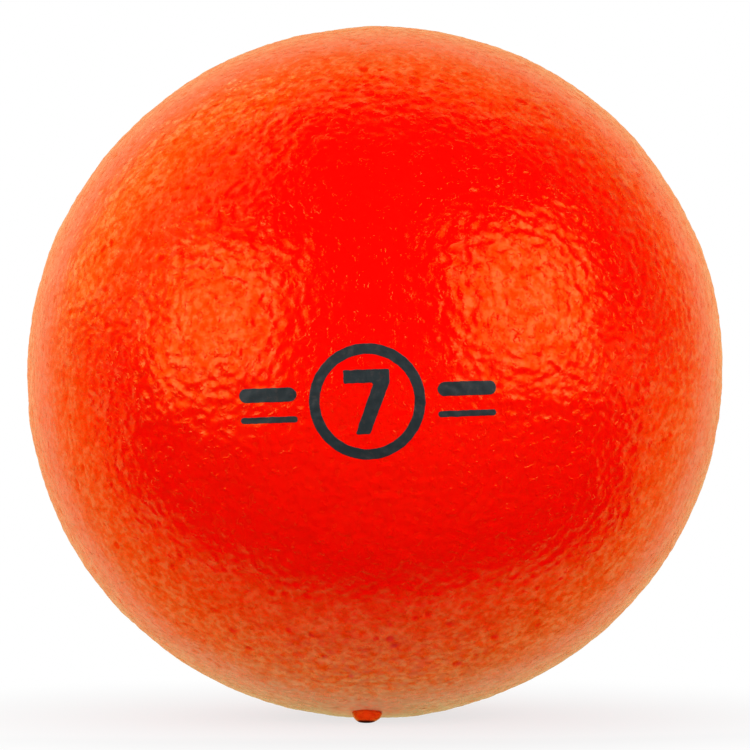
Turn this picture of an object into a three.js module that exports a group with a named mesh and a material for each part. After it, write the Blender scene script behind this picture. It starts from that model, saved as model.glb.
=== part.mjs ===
// A coated foam play ball, at rest on its nub.
// A moulded foam core carries a seal coat and a tough outer skin. The pin that held the ball
// while it was coated left a hole, and a plug with a low round nub closes it.
// Millimetres, +Z up, origin at the centre of the ball, -Y towards the viewer.
import * as THREE from 'three';

// The ball and its layers
const ballDiameter = 177.8; // over the skin, seven inches
const skinThickness = 0.8; // coloured outer coat
const sealThickness = 0.5; // first coat, which closes the cells of the foam
const bondGap = 0.3; // between one layer and the next

// The hole that the coating pin leaves, measured from the outside of the skin
const pinHoleDiameter = 5;
const pinHoleDepth = 58; // to where the point of the pin begins
const pinPointLength = 6;

// The plug in that hole
const plugClearance = 0.3; // all round the stem
const plugDepth = 14; // from the outside of the skin to where the tip begins
const plugTipLength = 1.6;
const plugTipDiameter = 2.4;

// The nub, which is the head of the plug
const nubDiameter = 7.1;
const nubHeight = 2.2; // from the skin to its trimmed flat end
const nubRounding = 1.6; // radius of the edge between its side and its end
const nubSeatGap = 0.3; // between the nub and the skin

// The side to which the nub lies, in degrees to the left of straight ahead
const nubHeading = 6;

// Facets
const turnSteps = 48;
const arcSteps = 24;
const nubSteps = 5;

// Sizes that follow from those above
const ballRadius = ballDiameter / 2;
const sealRadius = ballRadius - skinThickness - bondGap;
const coreRadius = sealRadius - sealThickness - bondGap;
const pinHoleRadius = pinHoleDiameter / 2;
const stemRadius = pinHoleRadius - plugClearance;
const nubRadius = nubDiameter / 2;
const nubSeatRadius = ballRadius + nubSeatGap;
const nubEndRadius = nubRadius - nubRounding;
const nubEndReach = ballRadius + nubHeight;

const point = (x, y) => new THREE.Vector2(x, y);

// A point at a distance from the axis, on the lower half of a sphere about the centre.
const below = (radius, x) => point(x, -Math.sqrt(radius * radius - x * x));

// Half of a round section, from the edge of the pin hole up to the top of the ball.
function halfRound(radius) {
  const holeAngle = Math.asin(pinHoleRadius / radius);
  const arc = new THREE.EllipseCurve(0, 0, radius, radius, holeAngle - Math.PI / 2, Math.PI / 2);
  return arc.getPoints(arcSteps);
}

// A sub-part turned about Z, from a profile that runs from its lowest point on the axis, or its
// hollow, round its outside to the top.
function turned(name, profile, color, roughness) {
  const geometry = new THREE.LatheGeometry(profile, turnSteps);
  geometry.rotateX(Math.PI / 2);
  const material = new THREE.MeshStandardMaterial({ color, roughness, metalness: 0 });
  const mesh = new THREE.Mesh(geometry, material);
  mesh.name = name;
  return mesh;
}

// A coat of even thickness, open at the pin hole.
function coatProfile(outerRadius, thickness) {
  return [...halfRound(outerRadius - thickness).reverse(), ...halfRound(outerRadius)];
}

// The foam, with the blind hole of the pin and its point.
function coreProfile() {
  const holeEnd = pinHoleDepth - ballRadius;
  return [
    point(0, holeEnd + pinPointLength),
    point(pinHoleRadius, holeEnd),
    ...halfRound(coreRadius),
  ];
}

// The plug: flat end, rounded edge, seat on the skin, stem and tip.
function plugProfile() {
  const roundingHeight = nubRounding - nubEndReach;
  const edge = new THREE.EllipseCurve(
    nubEndRadius, roundingHeight, nubRounding, nubRounding, -Math.PI / 2, 0,
  );
  const stemEnd = plugDepth - ballRadius;
  return [
    point(0, -nubEndReach),
    ...edge.getPoints(nubSteps),
    below(nubSeatRadius, nubRadius),
    below(nubSeatRadius, stemRadius),
    point(stemRadius, stemEnd),
    point(plugTipDiameter / 2, stemEnd + plugTipLength),
    point(0, stemEnd + plugTipLength),
  ];
}

// The ball has rolled until skin and nub both touch the ground: this is the angle between the
// plug and straight down.
function restingLean() {
  const roundingReach = nubEndReach - nubRounding;
  const reach = Math.hypot(nubEndRadius, roundingReach);
  return Math.atan2(nubEndRadius, roundingReach) + Math.acos((ballRadius - nubRounding) / reach);
}

const ball = new THREE.Group();
ball.add(
  turned('foam_core', coreProfile(), 0xe8dcbc, 0.95),
  turned('seal_coat', coatProfile(sealRadius, sealThickness), 0xd9662e, 0.7),
  turned('outer_skin', coatProfile(ballRadius, skinThickness), 0xf0280a, 0.42),
  turned('pin_hole_plug', plugProfile(), 0xd8360a, 0.4),
);
ball.rotation.set(-restingLean(), 0, THREE.MathUtils.degToRad(-nubHeading), 'ZYX');

const foamBall = new THREE.Group();
foamBall.add(ball);

export default foamBall;
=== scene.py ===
import math

import bmesh
import bpy
import numpy as np
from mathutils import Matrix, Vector, noise
from mathutils.bvhtree import BVHTree


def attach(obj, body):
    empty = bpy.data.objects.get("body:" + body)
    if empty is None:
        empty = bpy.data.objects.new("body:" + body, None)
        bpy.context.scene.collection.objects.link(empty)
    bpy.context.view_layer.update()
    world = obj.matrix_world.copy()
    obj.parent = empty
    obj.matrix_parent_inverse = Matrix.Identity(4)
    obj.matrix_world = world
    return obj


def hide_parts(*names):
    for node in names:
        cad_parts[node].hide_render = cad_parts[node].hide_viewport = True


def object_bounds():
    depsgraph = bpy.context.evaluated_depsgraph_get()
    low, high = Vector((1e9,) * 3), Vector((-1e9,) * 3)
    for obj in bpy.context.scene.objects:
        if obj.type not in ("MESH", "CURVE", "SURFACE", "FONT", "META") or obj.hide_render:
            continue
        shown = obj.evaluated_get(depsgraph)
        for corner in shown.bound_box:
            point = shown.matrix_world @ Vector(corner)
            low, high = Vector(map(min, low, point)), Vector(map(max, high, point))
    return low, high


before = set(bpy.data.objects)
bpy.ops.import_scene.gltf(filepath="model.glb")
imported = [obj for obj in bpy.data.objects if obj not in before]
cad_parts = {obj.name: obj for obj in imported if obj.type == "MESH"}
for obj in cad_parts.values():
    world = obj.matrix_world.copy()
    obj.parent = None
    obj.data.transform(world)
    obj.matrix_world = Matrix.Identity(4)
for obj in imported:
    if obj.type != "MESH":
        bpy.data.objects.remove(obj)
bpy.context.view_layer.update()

mm = 0.001
scene = bpy.context.scene
scene.view_settings.view_transform = "Standard"


# Sizes that come from the solids: walls, the pin hole and the plug on its axis

hair = 0.01 * mm  # measures of the solids that are this close count as the same


def nodePoints(name):
    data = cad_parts[name].data
    flat = np.empty(len(data.vertices) * 3)
    data.vertices.foreach_get("co", flat)
    return flat.reshape(-1, 3)


def wallOf(name):
    reach = np.linalg.norm(nodePoints(name), axis=1)
    return reach.min(), reach.max()


skinInner, ballRadius = wallOf("outer_skin")
sealInner, sealOuter = wallOf("seal_coat")
coreRadius = wallOf("foam_core")[1]

plugPoints = nodePoints("pin_hole_plug")
nubAxis = plugPoints.mean(axis=0)
nubAxis /= np.linalg.norm(nubAxis)


def onAxis(points):
    # how far points lie along the plug's axis, and how far from it
    along = points @ nubAxis
    across = np.linalg.norm(points - along[:, None] * nubAxis, axis=1)
    return along, across


corePoints = nodePoints("foam_core")
holePoints = corePoints[np.linalg.norm(corePoints, axis=1) < coreRadius - mm]
along, across = onAxis(holePoints)
boreRadius = across.max()
boreEnd = along[across.argmax()]  # where the point of the pin begins
boreTip = along.min()

along, across = onAxis(plugPoints)
nubReach = along.max()
nubRadius = across.max()
nubEndRadius = across[along > nubReach - hair].max()
inHole = along < skinInner
stemRadius = across[inHole].max()
stemEnd = along[inHole & (across > stemRadius - hair)].min()
stemTip = along.min()
stemTipRadius = across[along < stemTip + hair].max()
print(f"radii in mm: ball {ballRadius / mm:.2f}, nub {nubRadius / mm:.2f}, pin hole {boreRadius / mm:.2f}")


# Shader maths: a wire carries a value, and a board holds the nodes of one material, with sizes in mm

class Wire:
    def __init__(self, board, port):
        self.board = board
        self.port = port

    def maths(self, operation, *values):
        return self.board.node("ShaderNodeMath", {"operation": operation}, dict(enumerate(values)))

    def __add__(self, other):
        return self.maths("ADD", self, other)

    def __sub__(self, other):
        return self.maths("SUBTRACT", self, other)

    def __rsub__(self, other):
        return self.maths("SUBTRACT", other, self)

    def __mul__(self, other):
        return self.maths("MULTIPLY", self, other)

    def __truediv__(self, other):
        return self.maths("DIVIDE", self, other)

    def __rtruediv__(self, other):
        return self.maths("DIVIDE", other, self)

    __radd__ = __add__
    __rmul__ = __mul__


class Board:
    def __init__(self, tree):
        self.tree = tree
        tree.nodes.clear()

    def node(self, kind, settings=None, sockets=None, output=0):
        made = self.tree.nodes.new(kind)
        for name, value in (settings or {}).items():
            setattr(made, name, value)
        for name, value in (sockets or {}).items():
            if isinstance(value, Wire):
                self.tree.links.new(value.port, made.inputs[name])
            else:
                made.inputs[name].default_value = value
        return Wire(self, made.outputs[output]) if len(made.outputs) else made

    def place(self):
        return self.node("ShaderNodeTexCoord", output="Object")

    def mapped(self, name):
        return self.node("ShaderNodeAttribute", {"attribute_name": name}, None, "Fac")

    def distanceTo(self, spot):
        return self.node("ShaderNodeVectorMath", {"operation": "DISTANCE"}, {
            0: self.place(), 1: spot}, "Value")

    def along(self, vector, way):
        return self.node("ShaderNodeVectorMath", {"operation": "DOT_PRODUCT"}, {
            0: vector, 1: way}, "Value")

    def grain(self, size, detail=2.0, roughness=0.5, output="Fac"):
        return self.node("ShaderNodeTexNoise", None, {
            "Vector": self.place(), "Scale": 1 / (size * mm), "Detail": detail,
            "Roughness": roughness}, output)

    def cells(self, size):
        return self.node("ShaderNodeTexVoronoi", None, {
            "Vector": self.place(), "Scale": 1 / (size * mm)}, "Distance")

    def ramp(self, value, low, high, start=0.0, end=1.0):
        return self.node("ShaderNodeMapRange", {"interpolation_type": "SMOOTHSTEP"}, {
            "Value": value, "From Min": low, "From Max": high, "To Min": start, "To Max": end})

    def patches(self, size, detail, low, high, least=0.0, most=1.0):
        # grain drawn apart into clear patches: least where it is under low, most where it is over high
        return self.ramp(self.grain(size, detail), low, high, least, most)

    def tint(self, amount, first, second):
        return self.node("ShaderNodeMix", {"data_type": "RGBA"}, {0: amount, 6: first, 7: second}, 2)

    def bump(self, height, depth, onto=None):
        sockets = {"Height": height, "Distance": depth * mm, "Strength": 1.0}
        if onto is not None:
            sockets["Normal"] = onto
        return self.node("ShaderNodeBump", None, sockets)


def newFinish(name):
    material = bpy.data.materials.new(name)
    material.use_nodes = True
    return material, Board(material.node_tree)


def finishWith(board, sockets):
    shader = board.node("ShaderNodeBsdfPrincipled", None, sockets)
    board.node("ShaderNodeOutputMaterial", None, {"Surface": shader})


# Meshes on a sphere

upright = Vector((0, 0, 1))
toBall = np.array(upright.rotation_difference(Vector(nubAxis)).to_matrix())  # lays upright along the plug


def roundGrid(steps):
    # a cube's six faces swollen to a sphere, as unit directions and quads of even size
    side = np.arange(-steps, steps + 1, 2)
    u, v = (axis.ravel() for axis in np.meshgrid(side, side, indexing="ij"))
    corner = (np.arange(steps)[:, None] * (steps + 1) + np.arange(steps)).ravel()
    cell = np.stack([corner, corner + steps + 1, corner + steps + 2, corner + 1], axis=1)
    lattice = []
    cells = []
    for axis in range(3):
        for sign in (1, -1):
            face = np.stack([u, v, np.full_like(u, sign * steps)], axis=1)
            cells.append(cell[:, ::sign] + len(u) * len(lattice))
            lattice.append(np.roll(face, axis, axis=1))
    points, index = np.unique(np.concatenate(lattice), axis=0, return_inverse=True)
    swollen = np.tan(points / steps * math.pi / 4)
    swollen /= np.linalg.norm(swollen, axis=1)[:, None]
    return swollen @ toBall.T, index.ravel()[np.concatenate(cells)]


def boredGrid(steps, radius):
    # the round grid without the cells over the pin hole, whose rim is drawn out to a circle
    ways, quads = roundGrid(steps)
    middle = ways[quads].mean(axis=1) * radius
    along, across = onAxis(middle)
    overHole = (across < boreRadius) & (along > 0)
    kept = quads[~overHole]
    rim = np.intersect1d(quads[overHole], kept)
    spread = ways[rim] - (ways[rim] @ nubAxis)[:, None] * nubAxis
    spread *= boreRadius / radius / np.linalg.norm(spread, axis=1)[:, None]
    ways[rim] = spread + math.sqrt(1 - (boreRadius / radius) ** 2) * nubAxis
    used, index = np.unique(kept, return_inverse=True)
    return ways[used], index.reshape(-1, 4)


def addPiece(name, points, faces, material):
    mesh = bpy.data.meshes.new(name)
    mesh.from_pydata(points, [], faces)
    mesh.materials.append(material)
    piece = bpy.data.objects.new(name, mesh)
    scene.collection.objects.link(piece)
    return piece


def sewn(piece, work=None):
    # lets work close the open rims of a piece, then turns all faces outwards
    net = bmesh.new()
    net.from_mesh(piece.data)
    if work:
        work(net, [edge for edge in net.edges if edge.is_boundary])
    bmesh.ops.recalc_face_normals(net, faces=net.faces)
    net.to_mesh(piece.data)
    net.free()
    piece.data.shade_smooth()


def noiseAt(points, size, seed, basis="PERLIN_ORIGINAL"):
    places = (points / size + seed).tolist()
    return np.array([noise.noise(place, noise_basis=basis) for place in places])


def driftAt(points, size, seeds):
    return np.stack([noiseAt(points, size, seed) for seed in seeds], axis=1)


def nearestAt(points, size, seed):
    # distance to the nearest of some scattered spots, in their spacing
    return (noiseAt(points, size, seed, "VORONOI_F1") + 1) / 2


def smooth(value, low, high):
    share = np.clip((value - low) / (high - low), 0, 1)
    return share * share * (3 - 2 * share)


def settle(piece, node):
    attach(piece, "root")
    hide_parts(node)


def coat(name, material, outerWays, outerFaces, outerReach, innerRadius, innerSteps):
    # a coat of some thickness, open at the pin hole
    innerWays, innerFaces = boredGrid(innerSteps, innerRadius)
    points = np.concatenate([outerWays * outerReach[:, None], innerWays * innerRadius])
    faces = np.concatenate([outerFaces, innerFaces[:, ::-1] + len(outerWays)])
    piece = addPiece(name, points, faces.tolist(), material)
    sewn(piece, lambda net, rims: bmesh.ops.bridge_loops(net, edges=rims))
    return piece


# The lacquer of skin and nub: pigment with no shine of its own, under a gloss that the pigment tints

lacquer = {
    "index": 1.5,                          # refractive index
    "warm": ((1.0, 0.70, 0.01, 1), 0.03),  # tint of what it mirrors face on, and change in roughness
    "pale": ((1.0, 0.83, 0.35, 1), -0.03),  # the same towards the rims, and in patches
    "paleRange": (0.07, 0.24, 0.16, 1.0),  # mirror strength where pale starts and is full, and its shares
    "paleMottle": 0.4,                     # how far the mottle moves that share
    "gain": 2.0,                           # of gloss over mirror strength
    "matt": 0.018,                         # mirror strength that is lost to fine grain
    "hiding": 2.8,                         # how far the grain hides itself towards the rims
    "evenRange": (0.06, 0.2, 0.0, 0.72),   # mirror strength where the mottle fades, and how far
}


def glossOf(board, look, rough, relief):
    tint, change = look
    return board.node("ShaderNodeBsdfAnisotropic", {"distribution": "BECKMANN"}, {
        "Color": tint, "Roughness": rough + change, "Normal": relief})


def lacquered(board, shade, rough, relief, outward, mottle, cover=1.0):
    body = board.node("ShaderNodeBsdfPrincipled", None, {
        "Base Color": shade, "Roughness": rough, "Specular IOR Level": 0.0, "Normal": relief})
    warm = glossOf(board, lacquer["warm"], rough, relief)
    pale = glossOf(board, lacquer["pale"], rough, relief)
    mirror = board.node("ShaderNodeFresnel", None, {"IOR": lacquer["index"], "Normal": outward})
    paleShare = board.ramp(mirror, *lacquer["paleRange"]) + lacquer["paleMottle"] * (mottle - 1)
    gloss = board.node("ShaderNodeMixShader", None, {0: paleShare, 1: warm, 2: pale})
    share = lacquer["gain"] * (mirror - lacquer["matt"]) / (1 + lacquer["hiding"] * mirror)
    even = board.ramp(mirror, *lacquer["evenRange"])
    share = share * (mottle + even * (1 - mottle)) * cover
    both = board.node("ShaderNodeMixShader", None, {0: share, 1: body, 2: gloss})
    board.node("ShaderNodeOutputMaterial", None, {"Surface": both})


# The outer skin: sprayed elastomer with a pebbled grain, small pits and slow lumps

skin = {
    "gridSteps": 256,
    "innerSteps": 40,
    "oval": 0.54,              # mm, how far it is out of round
    "ovalTilt": 28,            # degrees, its long way rises to the right
    "lump": (13.0, 0.30),      # size and depth, mm
    "dent": (5.0, 0.11),
    "pebble": (1.85, 0.205),
    "grain": (1.4, 0.02),
    "warp": (4.0, 0.9),        # size and reach, mm, of what bends pebbles and pits out of line
    "pit": (4.2, 1.35, 0.10),  # spacing, radius and depth, mm
    "pitFloor": 0.55,          # its full depth, as a share of its radius
    "pitCloud": (9.0, -0.05, 0.35),  # size of places with pits, mm, and noise where they start and are full
    "calm": (1.3, 4.0),        # smooth round the nub: in its radii, and mm beyond it where grain is full
    "seed": (3.7, 11.2, 5.9),
    "red": (0.95, 0.0014, 0.0006, 1),
    "deepRed": (0.66, 0.0012, 0.0004, 1),
    # pale colour about the nub: dust, and a painted reflection of the pale floor
    "pale": (0.52, 0.30, 0.17, 1),
    "cloud": (18.0, 3, 0.5, 0.75, 0.0, 0.14),  # deep red: size in mm, detail, from, to, least and most
    "speck": (1.4, 2, 0.48, 0.7, 0.0, 0.2),
    "hollowPaintedShade": (0.04, 0.26, 0.0, 0.45),  # painted shade in the hollows: mm deep, from and to, and the share of deep red there
    "dustAndPaintedReflection": (2.2, 3, 0.33, 0.67),            # pale patches about the nub: partly dust, partly a painted reflection of the pale floor
    "dustAndReflectionReach": (60 * mm, 4 * mm),          # distance from the nub where they start and are full
    "dustAndReflectionShade": 0.55,
    "roughness": 0.205,                      # and what drift, hollows, dust and scuffs add to it
    "roughDrift": (5.0, 3, 0.12),            # size in mm, detail and spread
    "hollowRough": (0.02, 0.2, 0.0, 0.1),
    "dustRough": 0.25,
    "scuffRough": 0.4,
    "scuffReach": (15 * mm, 6 * mm),         # rubbed skin close to the nub
    "crease": (2.0, 0.018, 0.42),            # net of creases: size, depth, mm, and width in its cells
    "creaseBend": (1.5, 0.9),                # size and reach, mm, of what bends it
    "blister": (1.8, 2, 0.56, 0.67),         # low flat bumps with steep edges
    "blisterDepth": 0.072,
    "flecks": ((1.15, 0.055), (0.7, 0.018)),  # size and depth, mm, of the finest grain
    "fleckDetail": (2, 0.55),                # detail and roughness of its noise
    "mottle": ((1.6, 2, 0.38, 0.62, 0.70, 1.30), (4.6, 2, 0.38, 0.62, 0.78, 1.22)),  # patches in the gloss
    "pitMatt": 0.85,                         # share of the gloss that a pit lacks
}


def skinRelief(ways):
    # height over a true ball and depth in a hollow, both in mm, and how much of a pit is there
    points = ways * (ballRadius / mm)
    seed = np.array(skin["seed"])
    tilt = math.radians(skin["ovalTilt"])
    long = ways @ (math.cos(tilt), 0, math.sin(tilt))
    short = ways @ (-math.sin(tilt), 0, math.cos(tilt))
    shape = skin["oval"] * (long ** 2 - short ** 2)
    lumpSize, lumpDepth = skin["lump"]
    dentSize, dentDepth = skin["dent"]
    slow = lumpDepth * noiseAt(points, lumpSize, seed) + dentDepth * noiseAt(points, dentSize, seed * 2)
    warpSize, warpReach = skin["warp"]
    bent = points + warpReach * driftAt(points, warpSize, (seed * 3, seed * 5, seed * 7))
    pebbleSize, pebbleDepth = skin["pebble"]
    grainSize, grainDepth = skin["grain"]
    fine = pebbleDepth * noiseAt(bent, pebbleSize, seed) + grainDepth * noiseAt(points, grainSize, seed * 4)
    spacing, radius, depth = skin["pit"]
    cloudSize, start, full = skin["pitCloud"]
    gather = smooth(noiseAt(points, cloudSize, seed * 6), start, full)
    pits = gather * smooth(nearestAt(bent, spacing, seed) * spacing, radius, radius * skin["pitFloor"])
    calmRadii, calmReach = skin["calm"]
    nubSize = nubRadius / mm
    fromNub = np.where(ways @ nubAxis > 0, onAxis(points)[1], math.inf)
    quiet = smooth(fromNub, nubSize * calmRadii, nubSize + calmReach)
    return shape + quiet * (slow + fine - depth * pits), quiet * (depth * pits - fine), quiet * pits


def skinGrain(board):
    # what is finer than the mesh: a bent net of creases, then blisters and flecks over it
    size, depth, width = skin["crease"]
    bendSize, bendReach = skin["creaseBend"]
    bent = board.node("ShaderNodeVectorMath", {"operation": "MULTIPLY_ADD"}, {
        0: board.grain(bendSize, output="Color"), 1: [bendReach * mm] * 3, 2: board.place()})
    net = board.node("ShaderNodeTexVoronoi", {"feature": "DISTANCE_TO_EDGE"}, {
        "Vector": bent, "Scale": 1 / (size * mm)})
    fine = board.bump(board.ramp(net, 0, width), depth)
    fine = board.bump(board.patches(*skin["blister"]), skin["blisterDepth"], fine)
    for size, depth in skin["flecks"]:
        fine = board.bump(board.grain(size, *skin["fleckDetail"]), depth, fine)
    return fine


def skinFinish():
    material, board = newFinish("pebbled_skin")
    hollow = board.mapped("hollow")
    fromNub = board.distanceTo((nubAxis * ballRadius).tolist())
    dustAndPaintedReflection = board.ramp(fromNub, *skin["dustAndReflectionReach"]) * board.patches(*skin["dustAndPaintedReflection"])
    scuff = board.ramp(fromNub, *skin["scuffReach"])
    shade = board.tint(board.patches(*skin["cloud"]), skin["red"], skin["deepRed"])
    shade = board.tint(board.patches(*skin["speck"]), shade, skin["deepRed"])
    # painted shade: the hollows of the grain and its pits drawn deeper red
    shade = board.tint(board.ramp(hollow, *skin["hollowPaintedShade"]), shade, skin["deepRed"])
    # partly dust, partly a painted reflection of the pale floor: the skin about the nub drawn paler
    shade = board.tint(dustAndPaintedReflection * skin["dustAndReflectionShade"], shade, skin["pale"])
    size, detail, spread = skin["roughDrift"]
    rough = skin["roughness"] + spread * (board.grain(size, detail) - 0.5)
    rough = rough + board.ramp(hollow, *skin["hollowRough"])
    rough = rough + dustAndPaintedReflection * skin["dustRough"] + scuff * skin["scuffRough"]
    mottle = 1 - skin["pitMatt"] * board.mapped("pit")
    for patch in skin["mottle"]:
        mottle = mottle * board.patches(*patch)
    outward = board.node("ShaderNodeVectorTransform", {  # straight out of the ball, without its grain
        "vector_type": "NORMAL", "convert_from": "OBJECT", "convert_to": "WORLD"}, {0: board.place()})
    lacquered(board, shade, rough, skinGrain(board), outward, mottle)
    return material


def makeSkin():
    ways, faces = boredGrid(skin["gridSteps"], ballRadius)
    relief, hollow, pit = skinRelief(ways)
    reach = ballRadius + relief * mm
    piece = coat("pebbled_skin", skinFinish(), ways, faces, reach, skinInner, skin["innerSteps"])
    for name, values in (("hollow", hollow), ("pit", pit)):
        marks = np.zeros(len(piece.data.vertices))
        marks[:len(values)] = values
        piece.data.attributes.new(name, "FLOAT", "POINT").data.foreach_set("value", marks)
    settle(piece, "outer_skin")
    print(f"skin: {len(ways)} points, relief {relief.min():.2f} to {relief.max():.2f} mm")
    return piece


skinPiece = makeSkin()


# The seal coat under it

seal = {
    "gridSteps": 72,
    "innerSteps": 40,
    "ripple": (4.0, 0.06),           # size and depth, mm
    "colour": (0.69, 0.13, 0.03, 1),
    "thin": (0.80, 0.36, 0.15, 1),   # where the foam shows through
    "thinPatches": (3.0, 4, 0.35, 0.7),
    "roughness": (0.5, 0.2, 1.2),    # least, spread, and size in mm
    "grain": (0.8, 3),               # size in mm, and detail
    "grainDepth": 0.04,
}


def sealFinish():
    material, board = newFinish("seal_coat")
    least, spread, size = seal["roughness"]
    finishWith(board, {
        "Base Color": board.tint(board.patches(*seal["thinPatches"]), seal["colour"], seal["thin"]),
        "Roughness": least + spread * board.grain(size),
        "Normal": board.bump(board.grain(*seal["grain"]), seal["grainDepth"])})
    return material


def makeSeal():
    ways, faces = boredGrid(seal["gridSteps"], sealOuter)
    size, depth = seal["ripple"]
    reach = sealOuter + depth * mm * noiseAt(ways * (sealOuter / mm), size, 0)
    piece = coat("seal_coat_layer", sealFinish(), ways, faces, reach, sealInner, seal["innerSteps"])
    settle(piece, "seal_coat")
    print(f"seal coat: {len(ways)} points")


makeSeal()


# The foam core

core = {
    "gridSteps": 96,
    "cell": (2.4, 0.5, 0.6),         # spacing and depth, mm, and radius as a share of the spacing
    "fineCell": (1.1, 0.3),          # size and depth, mm
    "cellPaintedShadeRange": (0.55, 0.1),        # where the painted shade in a fine cell's hollow starts and is full
    "colour": (0.80, 0.71, 0.50, 1),
    # painted shade, drawn into the hollows of the open cells
    "cellHollowPaintedShade": (0.52, 0.42, 0.25, 1),
    "roughness": (0.95, 0.1),        # most, and how much less between the cells
}


def foamFinish():
    material, board = newFinish("open_foam")
    size, depth = core["fineCell"]
    most, drop = core["roughness"]
    cells = board.cells(size)
    finishWith(board, {
        # painted shade: the hollows of the fine cells drawn darker
        "Base Color": board.tint(board.ramp(cells, *core["cellPaintedShadeRange"]), core["colour"], core["cellHollowPaintedShade"]),
        "Roughness": most - drop * cells,
        "Normal": board.bump(cells, depth)})
    return material


def boreOut(net, rim):
    # the wall of the pin hole, then its point
    axis = Vector(nubAxis)
    for end in (boreEnd, boreTip):
        grown = bmesh.ops.extrude_edge_only(net, edges=rim)["geom"]
        rim = [part for part in grown if isinstance(part, bmesh.types.BMEdge) and part.is_boundary]
        ring = {vert for edge in rim for vert in edge.verts}
        for vert in ring:
            vert.co += axis * (end - vert.co.dot(axis))
    bmesh.ops.pointmerge(net, verts=list(ring), merge_co=axis * boreTip)


def makeCore():
    ways, faces = boredGrid(core["gridSteps"], coreRadius)
    spacing, depth, radius = core["cell"]
    reach = coreRadius - depth * mm * smooth(nearestAt(ways * (coreRadius / mm), spacing, 0), radius, 0)
    piece = addPiece("foam_ball", ways * reach[:, None], faces.tolist(), foamFinish())
    sewn(piece, boreOut)
    settle(piece, "foam_core")
    print(f"foam core: {len(ways)} points")


makeCore()


# The plug, with its nub seated on the skin

plug = {
    "turns": 96,
    "shoulderSteps": 12,
    "stemSteps": 7,
    "seatGap": 0.04,         # mm between nub and skin
    "endShare": 0.84,        # of the solid's flat end, the rest is worn round
    "endRing": 0.5,          # a ring of points on that end, as a share of its radius
    "bulge": 1.25,           # 1 is a round shoulder, 2 a straight slant
    "shoulderShare": 0.85,   # of the nub's height
    "seatShare": 0.985,      # of its radius, at the skin
    "seatHollow": 0.06,      # mm, from the rim of the seat to the stem
    "wobble": (3.2, 0.10),   # size and depth of its unevenness, mm
    "wobbleUp": 0.6,         # share of that along the axis
    "wobbleSeeds": (2, 4, 6),
    "smear": 0.55,           # mm, how far its rim runs out to the right
    "smearUp": 0.35,         # how far that lifts, as a share
    "depthShare": 0.78,      # front to back, of its width
    "colour": (0.88, 0.045, 0.004, 1),
    "deepPatches": (1.5, 3, 0.35, 0.7, 0.0, 0.5),
    # painted shade: the trimmed end, which faces the floor, drawn near black
    "shadedCutEnd": (0.05, 0.022, 0.008, 1),
    "endShadeShare": 0.85,
    "cutFrom": (-0.2, 0.05),  # mm from the end, where the cut face starts and is full
    "cutEdge": (1.1, 0.25),   # size and reach of its uneven edge, mm
    "roughness": (0.30, 0.3),  # of the side, and how much more on the cut face
    "mottle": (0.9, 2, 0.3, 0.7, 0.5, 1.0),
    "grain": (0.5, 3),        # size in mm, and detail
    "grainDepth": 0.04,
}
nubEnd = nubEndRadius * plug["endShare"]


def plugFinish():
    material, board = newFinish("plug_elastomer")
    size, reach = plug["cutEdge"]
    height = board.along(board.place(), nubAxis.tolist()) + reach * mm * board.grain(size)
    shadedCutEnd = board.ramp(height, *(nubReach + step * mm for step in plug["cutFrom"]))
    shade = board.tint(board.patches(*plug["deepPatches"]), plug["colour"], skin["deepRed"])
    # painted shade: the cut end, which faces the floor, drawn near black
    shade = board.tint(shadedCutEnd * plug["endShadeShare"], shade, plug["shadedCutEnd"])
    side, more = plug["roughness"]
    fine = board.bump(board.grain(*plug["grain"]), plug["grainDepth"])
    lacquered(board, shade, side + more * shadedCutEnd, fine, fine, board.patches(*plug["mottle"]), 1 - shadedCutEnd)
    return material


def plugProfile(seat):
    # radius and height, from the middle of the nub's end over its shoulder to the seat, then down the stem
    rise = plug["shoulderShare"] * (nubReach - seat)
    profile = [(0, nubReach), (nubEnd * plug["endRing"], nubReach)]
    for step in range(plug["shoulderSteps"] + 1):
        angle = step / plug["shoulderSteps"] * math.pi / 2
        radius = nubEnd + (nubRadius - nubEnd) * math.sin(angle) ** plug["bulge"]
        profile.append((radius, nubReach - rise * (1 - math.cos(angle) ** plug["bulge"])))
    profile.append((nubRadius * plug["seatShare"], seat))
    profile.append((stemRadius, seat + plug["seatHollow"] * mm))
    for height in np.linspace(seat, stemEnd, plug["stemSteps"] + 1)[1:]:
        profile.append((stemRadius, height))
    return profile + [(stemTipRadius, stemTip), (0, stemTip)]


def turned(profile, turns):
    # points and faces of a profile that is turned about its axis, on which both its ends lie
    angles = np.arange(turns) * 2 * math.pi / turns
    ring = np.stack([np.cos(angles), np.sin(angles)], axis=1)
    points = [(0, 0, profile[0][1])]
    for radius, height in profile[1:-1]:
        points += [(radius * x, radius * y, height) for x, y in ring]
    points.append((0, 0, profile[-1][1]))
    last = len(points) - 1 - turns
    faces = []
    for step in range(turns):
        after = (step + 1) % turns
        faces.append((0, 1 + step, 1 + after))
        for row in range(1, last, turns):
            faces.append((row + step, row + turns + step, row + turns + after, row + after))
        faces.append((last + after, last + step, len(points) - 1))
    return np.array(points), faces


def wearNub(points, seat):
    # uneven, smeared to the right, and less deep than wide
    size, reach = plug["wobble"]
    out = points[:, 2] > seat
    drift = driftAt(points / mm, size, plug["wobbleSeeds"])
    points += out[:, None] * drift * reach * mm * (1, 1, plug["wobbleUp"])
    wide = np.linalg.norm(points[:, :2], axis=1)
    smear = smooth(wide, nubEnd, nubRadius) * np.clip(points[:, 0] / nubRadius, 0, 1) ** 2
    points[:, 0] += plug["smear"] * mm * smear
    points[:, 2] += plug["smearUp"] * plug["smear"] * mm * smear
    points[out, 1] *= plug["depthShare"]


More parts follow.
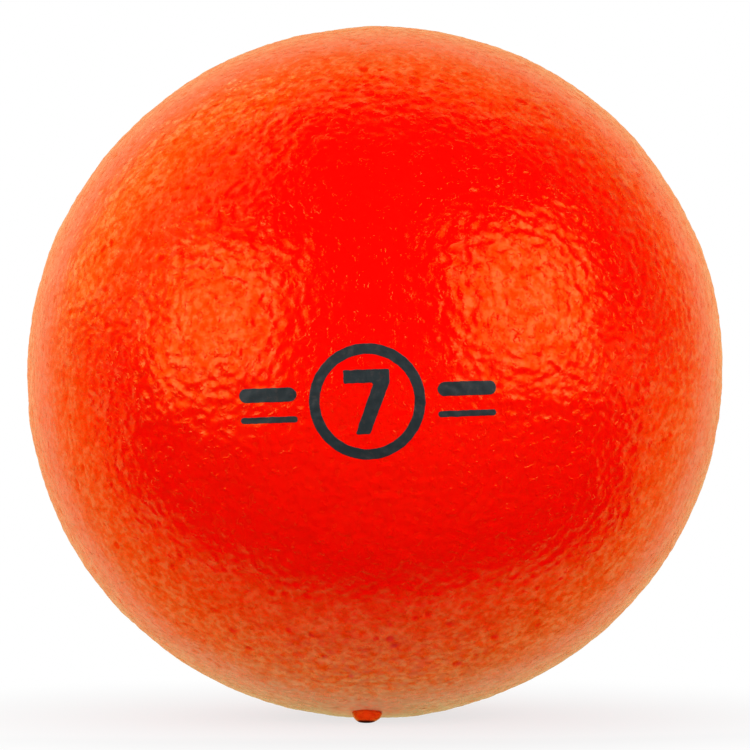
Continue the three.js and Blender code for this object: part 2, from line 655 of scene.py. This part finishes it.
def makePlug():
    skinAtNub = ballRadius + skinRelief(nubAxis[None])[0][0] * mm
    seat = math.sqrt(skinAtNub ** 2 - nubRadius ** 2) + plug["seatGap"] * mm
    points, faces = turned(plugProfile(seat), plug["turns"])
    wearNub(points, seat)
    piece = addPiece("plug_with_nub", points @ toBall.T, faces, plugFinish())
    sewn(piece)
    settle(piece, "pin_hole_plug")
    print(f"plug: {len(points)} points")


makePlug()


# A plain printed size mark, where such a ball carries its print

mark = {
    "aim": (-1.2, -4.6),       # degrees to the right and up, seen from the front
    "tilt": 2.0,
    "ring": (28.0, 2.6),       # diameter and stroke, mm
    "ringSteps": 180,
    "figure": (11.0, 15.5, 3.2),  # width, height and stroke of the numeral, mm
    "figureFoot": 0.28,        # how far left of the middle its foot is, as a share of the width
    "figureStem": (1.2, 1.1),  # width of its stem at the top and at the foot, in strokes
    "barRows": ((2.4, 3.4), (-3.6, 1.5)),  # height on the mark and thickness of each pair of bars, mm
    "barLength": 14.5,
    "barGap": 3.0,
    "barSteps": 12,
    "voxel": 0.3,              # mm, cells of its mesh
    "ragged": (1.5, 0.10),     # size and reach of its uneven edges, mm
    "raggedShift": (7, 3, 1),
    "film": 0.03,              # mm, thickness of the ink
    "lift": 0.015,
    "probe": 5.0,              # mm over the ball, from where the skin under the ink is found
    "ink": (0.012, 0.020, 0.023, 1),
    "worn": (0.036, 0.031, 0.030, 1),
    "wornGrain": (1.1, 3, 0.6),     # size in mm, detail and roughness of the noise
    "wornRange": (0.52, 0.75),      # where the wear starts and is full
    "roughness": (0.5, 0.15, 2.0),  # least, spread, and size in mm
    "grain": (0.7, 3, 0.6),         # as for the wear
    "grainDepth": 0.04,
}
slabHalf = 2 * mark["voxel"] * mm  # half the thickness of the slab that becomes the film


def arc(x, y, radius, start, sweep, steps):
    angles = [start + k * sweep / steps for k in range(steps + 1)]
    return [(x + radius * math.cos(angle), y + radius * math.sin(angle)) for angle in angles]


def circle(radius):
    return arc(0, 0, radius, 0, 2 * math.pi, mark["ringSteps"])[:-1]


def bar(left, right, height, thickness):
    half = thickness / 2
    rightEnd = arc(right - half, height, half, -math.pi / 2, math.pi, mark["barSteps"])
    return rightEnd + arc(left + half, height, half, math.pi / 2, math.pi, mark["barSteps"])


def seven(width, height, stroke):
    top = height / 2
    right = width / 2
    foot = -width * mark["figureFoot"]
    stemTop, stemFoot = mark["figureStem"]
    flag = [(-right, top), (right, top), (right, top - stroke)]
    stem = [(foot + stroke * stemFoot, -top), (foot, -top), (right - stroke * stemTop, top - stroke)]
    return flag + stem + [(-right, top - stroke)]


def markOutlines():
    diameter, stroke = mark["ring"]
    outlines = [circle(diameter / 2), circle(diameter / 2 - stroke), seven(*mark["figure"])]
    near = diameter / 2 + mark["barGap"]
    far = near + mark["barLength"]
    for height, thickness in mark["barRows"]:
        outlines.append(bar(near, far, height, thickness))
        outlines.append(bar(-far, -near, height, thickness))
    return outlines


def evenMesh(outlines):
    # the outlines as one thick flat solid, remeshed to even cells
    art = bpy.data.curves.new("mark_outlines", "CURVE")
    art.dimensions = "2D"
    art.fill_mode = "BOTH"
    art.extrude = slabHalf
    for outline in outlines:
        spline = art.splines.new("POLY")
        spline.points.add(len(outline) - 1)
        for point, (x, y) in zip(spline.points, outline):
            point.co = (x * mm, y * mm, 0, 1)
        spline.use_cyclic_u = True
    flat = bpy.data.objects.new("mark_outlines", art)
    scene.collection.objects.link(flat)
    solid = bpy.data.objects.new("mark_solid", bpy.data.meshes.new_from_object(flat))
    scene.collection.objects.link(solid)
    even = solid.modifiers.new("even", "REMESH")
    even.mode = "VOXEL"
    even.voxel_size = mark["voxel"] * mm
    mesh = bpy.data.meshes.new_from_object(solid.evaluated_get(bpy.context.evaluated_depsgraph_get()))
    bpy.data.objects.remove(flat)
    bpy.data.objects.remove(solid)
    return mesh


def inkFinish():
    material, board = newFinish("printing_ink")
    least, spread, size = mark["roughness"]
    worn = board.ramp(board.grain(*mark["wornGrain"]), *mark["wornRange"])
    finishWith(board, {
        "Base Color": board.tint(worn, mark["ink"], mark["worn"]),
        "Roughness": least + spread * board.grain(size),
        "Normal": board.bump(board.grain(*mark["grain"]), mark["grainDepth"])})
    return material


def wayOf(right, up):
    # unit vector to the right and up from the camera's side, by angles in radians
    return Vector((math.sin(right) * math.cos(up), -math.cos(right) * math.cos(up), math.sin(up)))


def makeMark():
    mesh = evenMesh(markOutlines())
    mesh.materials.append(inkFinish())
    tilt = math.radians(mark["tilt"])
    aimRight, aimUp = (math.radians(angle) for angle in mark["aim"])
    raggedSize, raggedReach = mark["ragged"]
    surface = BVHTree.FromObject(skinPiece, bpy.context.evaluated_depsgraph_get())
    for vert in mesh.vertices:
        x, y, z = vert.co
        place = Vector((x, y, 0)) / (raggedSize * mm)
        x += raggedReach * mm * noise.noise(place)
        y += raggedReach * mm * noise.noise(place + Vector(mark["raggedShift"]))
        right = x * math.cos(tilt) - y * math.sin(tilt)
        up = x * math.sin(tilt) + y * math.cos(tilt)
        way = wayOf(aimRight + right / ballRadius, aimUp + up / ballRadius)
        hit = surface.ray_cast(way * (ballRadius + mark["probe"] * mm), -way)[0]
        share = min(max((z + slabHalf) / (2 * slabHalf), 0), 1)
        vert.co = hit + way * (mark["lift"] + mark["film"] * share) * mm
    mesh.shade_smooth()
    piece = bpy.data.objects.new("printed_size_mark", mesh)
    scene.collection.objects.link(piece)
    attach(piece, "root")
    print(f"printed mark: {len(mesh.vertices)} points")


makeMark()


# Floor, studio and camera

studio = {
    "lamps": {  # degrees to the right and up from the camera's side, distance, width, height in m, and watts
        "left_softbox": (-54, 14, 1.25, 0.95, 0.95, 9.0),
        "right_softbox": (51, 19, 1.25, 0.95, 0.95, 8.6),
        "left_scrim": (-102, 38, 1.25, 1.1, 1.25, 4.0),
        "right_scrim": (87, -3, 1.25, 0.5, 0.5, 0.48),
        "top_scrim": (180, 71, 1.25, 1.3, 0.55, 1.1),
    },
    "fill": (11, 22, 1.6, 2.4, 1.1, 14.8),  # the same for a wide scrim that leaves no highlight
    "floor": (0.64, 0.64, 0.64, 1),
    "floorSize": 12.0,
    "table": (0.38, 0.38, 0.38, 1),  # in front of the white sheet
    "sheetEdge": (-0.088, -0.062),   # m, where the sheet begins, in front of the ball
    "sheetBow": ((-0.05, -0.2, 0.035), (0.03, 0.15, 0.041)),  # m to a side, from, to and back
    "shadowShare": 0.26,
    "shadowReach": (0.02, 0.17),     # m from the ball's foot, where the shadow is fullest and where it ends
    "backdrop": (-0.11, 0.99, 0.0),  # the way to its bright middle
    "backdropRange": (-0.05, 0.8, 0.02, 1.07),  # how far a way points there, and the light
}


def makeFloor():
    half = studio["floorSize"] / 2
    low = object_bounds()[0].z
    corners = [(-half, -half, low), (half, -half, low), (half, half, low), (-half, half, low)]
    material, board = newFinish("pale_floor")
    floor = addPiece("floor", corners, [(0, 1, 2, 3)], material)
    seen = board.node("ShaderNodeLightPath", output="Is Camera Ray")
    mirrored = board.node("ShaderNodeLightPath", output="Is Glossy Ray")
    across = board.node("ShaderNodeSeparateXYZ", None, {0: board.place()}, "X")
    depth = board.node("ShaderNodeSeparateXYZ", None, {0: board.place()}, "Y")
    for start, end, back in studio["sheetBow"]:
        depth = depth - board.ramp(across, start, end, 0, back)
    sheet = board.ramp(depth, *studio["sheetEdge"])
    away = board.distanceTo((0, 0, low))
    plain = board.ramp(away, *studio["shadowReach"], 1 - studio["shadowShare"], 1.0)
    matt = board.node("ShaderNodeBsdfDiffuse", None, {
        "Color": board.tint(sheet, studio["table"], studio["floor"])})
    white = board.node("ShaderNodeEmission", None, {"Color": 1 - mirrored * (1 - sheet), "Strength": 1.0})
    both = board.node("ShaderNodeMixShader", None, {0: seen * plain + mirrored, 1: matt, 2: white})
    board.node("ShaderNodeOutputMaterial", None, {"Surface": both})


def makeWorld():
    # white to the camera, and for the light a studio that is dark on the camera's side
    world = bpy.data.worlds.new("studio")
    world.use_nodes = True
    scene.world = world
    board = Board(world.node_tree)
    way = board.node("ShaderNodeTexCoord", output="Generated")
    level = board.ramp(board.along(way, studio["backdrop"]), *studio["backdropRange"])
    seen = board.node("ShaderNodeLightPath", output="Is Camera Ray")
    light = board.node("ShaderNodeBackground", None, {"Color": (1, 1, 1, 1), "Strength": level})
    white = board.node("ShaderNodeBackground", None, {"Color": (1, 1, 1, 1), "Strength": 1.0})
    both = board.node("ShaderNodeMixShader", None, {0: seen, 1: light, 2: white})
    board.node("ShaderNodeOutputWorld", None, {"Surface": both})


def addLamp(name, right, up, distance, width, height, watts):
    lamp = bpy.data.lights.new(name, "AREA")
    lamp.shape = "RECTANGLE"
    lamp.size = width
    lamp.size_y = height
    lamp.energy = watts
    holder = bpy.data.objects.new(name, lamp)
    way = wayOf(math.radians(right), math.radians(up))
    holder.location = way * distance
    holder.rotation_euler = way.to_track_quat("Z", "Y").to_euler()
    scene.collection.objects.link(holder)
    return holder


def makeLamps():
    for name, setting in studio["lamps"].items():
        addLamp(name, *setting)
    fill = addLamp("fill_scrim", *studio["fill"])
    fill.visible_glossy = False
    fill.data.cycles.use_multiple_importance_sampling = False


shot = {
    "distance": 1.2,               # m, level with the ball
    "imagePixels": 750,
    "ballPixels": 693,             # diameter in the picture
    "ballCentre": (375.0, 372.2),  # pixels from the left and from the top
    "sensor": 36,                  # mm
}


def makeCamera():
    lens = bpy.data.cameras.new("photo_view")
    lens.sensor_width = shot["sensor"]
    edge = math.tan(math.asin(ballRadius / shot["distance"]))
    lens.lens = shot["sensor"] * shot["ballPixels"] / 2 / shot["imagePixels"] / edge
    pixel = edge * shot["distance"] / (shot["ballPixels"] / 2)
    x, y = shot["ballCentre"]
    middle = shot["imagePixels"] / 2
    camera = bpy.data.objects.new("photo_view", lens)
    camera.location = ((middle - x) * pixel, -shot["distance"], (y - middle) * pixel)
    camera.rotation_euler = (math.pi / 2, 0, 0)
    scene.collection.objects.link(camera)
    scene.camera = camera


makeFloor()
makeWorld()
makeLamps()
makeCamera()
print("floor, studio and camera: done")
